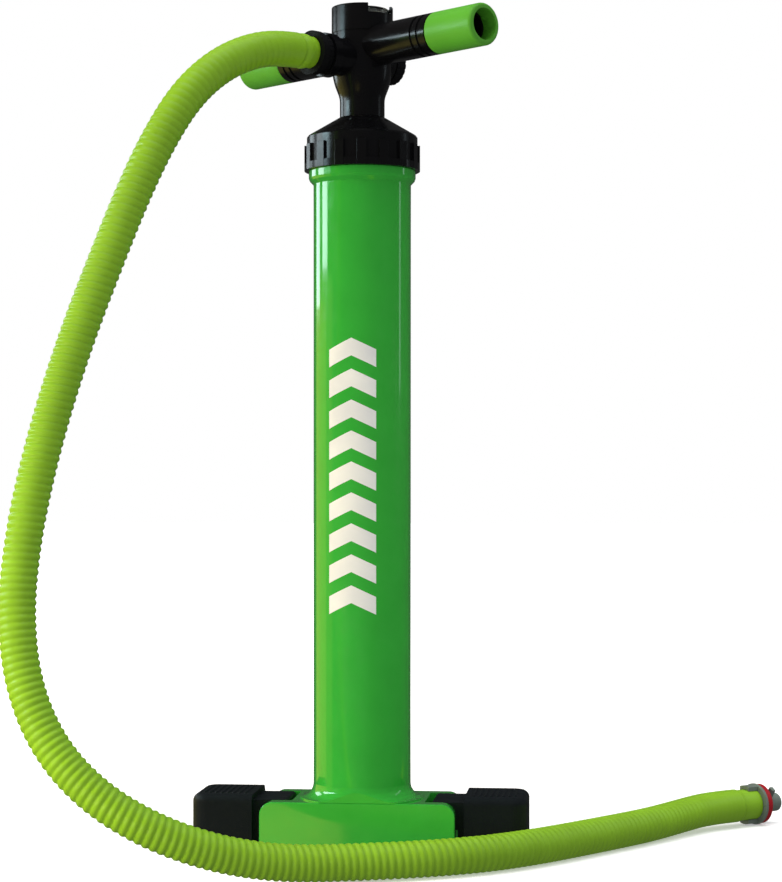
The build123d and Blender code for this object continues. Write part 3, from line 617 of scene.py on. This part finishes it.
FLOOR_HALF = 12.0
FLOOR_NEAR = 0.35  # round the pump the floor takes shadows; further out it fades to white
FLOOR_FAR = 1.1
FLOOR_GLOW_NEAR, FLOOR_GLOW_FAR = 0.35, 1.0  # strength of its glow at those two distances
FLOOR_COLOUR = (0.92, 0.92, 0.92)
floor_mesh = bpy.data.meshes.new("floor")
floor_mesh.from_pydata([(-FLOOR_HALF, -FLOOR_HALF, 0), (FLOOR_HALF, -FLOOR_HALF, 0),
                        (FLOOR_HALF, FLOOR_HALF, 0), (-FLOOR_HALF, FLOOR_HALF, 0)], [], [(0, 1, 2, 3)])
floor_look, floor_tree, floor_shader = new_material("floor_white")
floor_shader.inputs["Base Color"].default_value = (*FLOOR_COLOUR, 1)
floor_shader.inputs["Roughness"].default_value = 0.9
floor_shader.inputs["Specular IOR Level"].default_value = 0.0
floor_shader.inputs["Emission Color"].default_value = (1, 1, 1, 1)
floor_place = floor_tree.nodes.new("ShaderNodeTexCoord").outputs["Object"]
floor_reach = floor_tree.nodes.new("ShaderNodeVectorMath")
floor_reach.operation = "LENGTH"
floor_tree.links.new(floor_place, floor_reach.inputs[0])
floor_fade = floor_tree.nodes.new("ShaderNodeMapRange")
floor_fade.inputs["From Min"].default_value = FLOOR_NEAR
floor_fade.inputs["From Max"].default_value = FLOOR_FAR
floor_fade.inputs["To Min"].default_value = FLOOR_GLOW_NEAR
floor_fade.inputs["To Max"].default_value = FLOOR_GLOW_FAR
floor_tree.links.new(floor_reach.outputs["Value"], floor_fade.inputs["Value"])
floor_tree.links.new(floor_fade.outputs["Result"], floor_shader.inputs["Emission Strength"])
floor_mesh.materials.append(floor_look)
floor = bpy.data.objects.new("floor", floor_mesh)
floor.visible_glossy = False
floor.visible_diffuse = False
bpy.context.collection.objects.link(floor)

WORLD_SEEN = 1.0  # the backdrop that the camera sees
WORLD_FILL = 0.34  # what it gives to matt surfaces
WORLD_GLOSS = 0.05  # what it gives to reflections, so that black plastic stays black
world = bpy.data.worlds.new("studio")
world.use_nodes = True
bpy.context.scene.world = world
world_tree = world.node_tree
sky = world_tree.nodes["Background"]
sky.inputs["Color"].default_value = (1, 1, 1, 1)
ray = world_tree.nodes.new("ShaderNodeLightPath")
unseen = world_tree.nodes.new("ShaderNodeMapRange")
unseen.inputs["To Min"].default_value = WORLD_FILL
unseen.inputs["To Max"].default_value = WORLD_GLOSS
world_tree.links.new(ray.outputs["Is Glossy Ray"], unseen.inputs["Value"])
level = world_tree.nodes.new("ShaderNodeMapRange")
level.inputs["To Max"].default_value = WORLD_SEEN
world_tree.links.new(unseen.outputs["Result"], level.inputs["To Min"])
world_tree.links.new(ray.outputs["Is Camera Ray"], level.inputs["Value"])
world_tree.links.new(level.outputs["Result"], sky.inputs["Strength"])


def softbox(name, place, aim, size, power, colour, shades=True, shines=True):
    """A rectangular area light aimed at a point, which lights matt surfaces, reflections or both."""
    data = bpy.data.lights.new(name, "AREA")
    data.shape = "RECTANGLE"
    data.size, data.size_y = size
    data.energy = power
    data.color = colour
    light = bpy.data.objects.new(name, data)
    light.location = place
    light.rotation_euler = (Vector(aim) - Vector(place)).to_track_quat("-Z", "Y").to_euler()
    light.visible_diffuse = shades
    light.visible_glossy = shines
    light.visible_camera = False
    bpy.context.collection.objects.link(light)


def round_about(degrees, reach, height):
    """A place round the pump: degrees from the camera's side, positive to the right of the view."""
    x, y = turned(0, -reach, PUMP_YAW_DEG + degrees)
    return (x, y, height)


MIDDLE = (0, 0, 0.33)  # half the pump's height
HEAD = (0, 0, 0.55)  # the screw cap
LOW = (0, 0, 0.12)  # the lower part of the barrel
FLOOR = (0, 0, 0)
NEUTRAL = (1, 1, 1)
WARM = (1.0, 0.84, 0.52)
COOL = (0.80, 0.94, 1.0)
BLUISH = (0.66, 0.92, 1.0)
YELLOW = (1.0, 0.85, 0.15)

# Name, place, aim, width and height, watts, colour.
SHADING_LIGHTS = [
    ("key", round_about(-70, 3.2, 1.1), MIDDLE, (1.8, 2.2), 66, WARM),
    ("fill", round_about(55, 2.2, 0.9), MIDDLE, (1.2, 1.6), 1.8, COOL),
    ("bounce", round_about(-15, 1.4, 0.08), (0, 0, 0.05), (1.4, 0.3), 2.5, NEUTRAL),
    ("low_left", round_about(-50, 0.9, 0.12), (-0.08, 0, 0.03), (0.5, 0.2), 2.6, WARM),
    ("nozzle_side", (0.5, 0.1, 0.35), (0.25, 0.08, 0.02), (0.3, 0.3), 0.5, NEUTRAL),
    ("overhead", (0, 0, 2.2), FLOOR, (2.0, 2.0), 34, NEUTRAL),
]
REFLECTED_LIGHTS = [
    ("window_front", round_about(-98, 1.3, 0.73), HEAD, (0.41, 0.33), 1.9, COOL),
    ("window_back", round_about(-127, 1.3, 0.70), HEAD, (0.42, 0.37), 1.6, COOL),
    ("window_high", round_about(-80, 1.3, 0.80), HEAD, (0.42, 0.16), 2.0, BLUISH),
    ("glow_near", round_about(-116, 1.3, 0.12), LOW, (1.1, 0.8), 0.9, YELLOW),
    ("glow_wide", round_about(-105, 1.4, 0.12), LOW, (1.7, 0.9), 1.2, YELLOW),
    ("glow_front", round_about(-23, 1.2, -0.185), (0, 0, 0.02), (0.4, 0.12), 0.11, YELLOW),
    ("window_right", round_about(100, 1.4, 0.80), HEAD, (0.12, 0.8), 0.25, COOL),
    ("ceiling", (0, -0.6, 1.9), (0, 0, 0.6), (1.2, 0.5), 0.2, COOL),
]
for light_row in SHADING_LIGHTS:
    softbox(*light_row, shines=False)
for light_row in REFLECTED_LIGHTS:
    softbox(*light_row, shades=False)

bpy.context.scene.view_settings.view_transform = "Standard"
